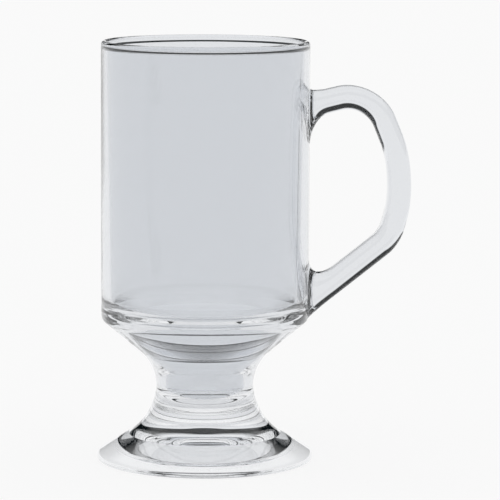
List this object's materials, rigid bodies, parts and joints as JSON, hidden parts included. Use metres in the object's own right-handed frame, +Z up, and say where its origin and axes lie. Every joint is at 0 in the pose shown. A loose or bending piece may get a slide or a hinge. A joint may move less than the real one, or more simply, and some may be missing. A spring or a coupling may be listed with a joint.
{
  "type": "footed glass mug",
  "caption": "Clear glass mug for hot drinks: straight round bowl with a funnel floor, waisted stem, coned foot and a D-shaped side handle.",
  "frame": {"origin": "on the surface the mug stands on, below the middle of the whole mug with its handle; the bowl's axis is at X = -16.33 mm, Y = 0", "axes": "+Z up along the bowl's axis towards the rim, +X from the bowl towards the handle, +Y across the handle"},
  "size_m": [0.1046, 0.072, 0.14],
  "materials": {
    "bowl_glass": "clear pressed soda-lime glass, fire-polished",
    "stem_glass": "clear pressed soda-lime glass, fire-polished",
    "foot_glass": "clear pressed soda-lime glass, fire-polished",
    "handle_glass": "clear pressed soda-lime glass, fire-polished"
  },
  "bodies": {
    "root": {"bowl": "bowl_glass", "stem": "stem_glass", "foot": "foot_glass", "handle": "handle_glass"}
  },
  "joints": []
}
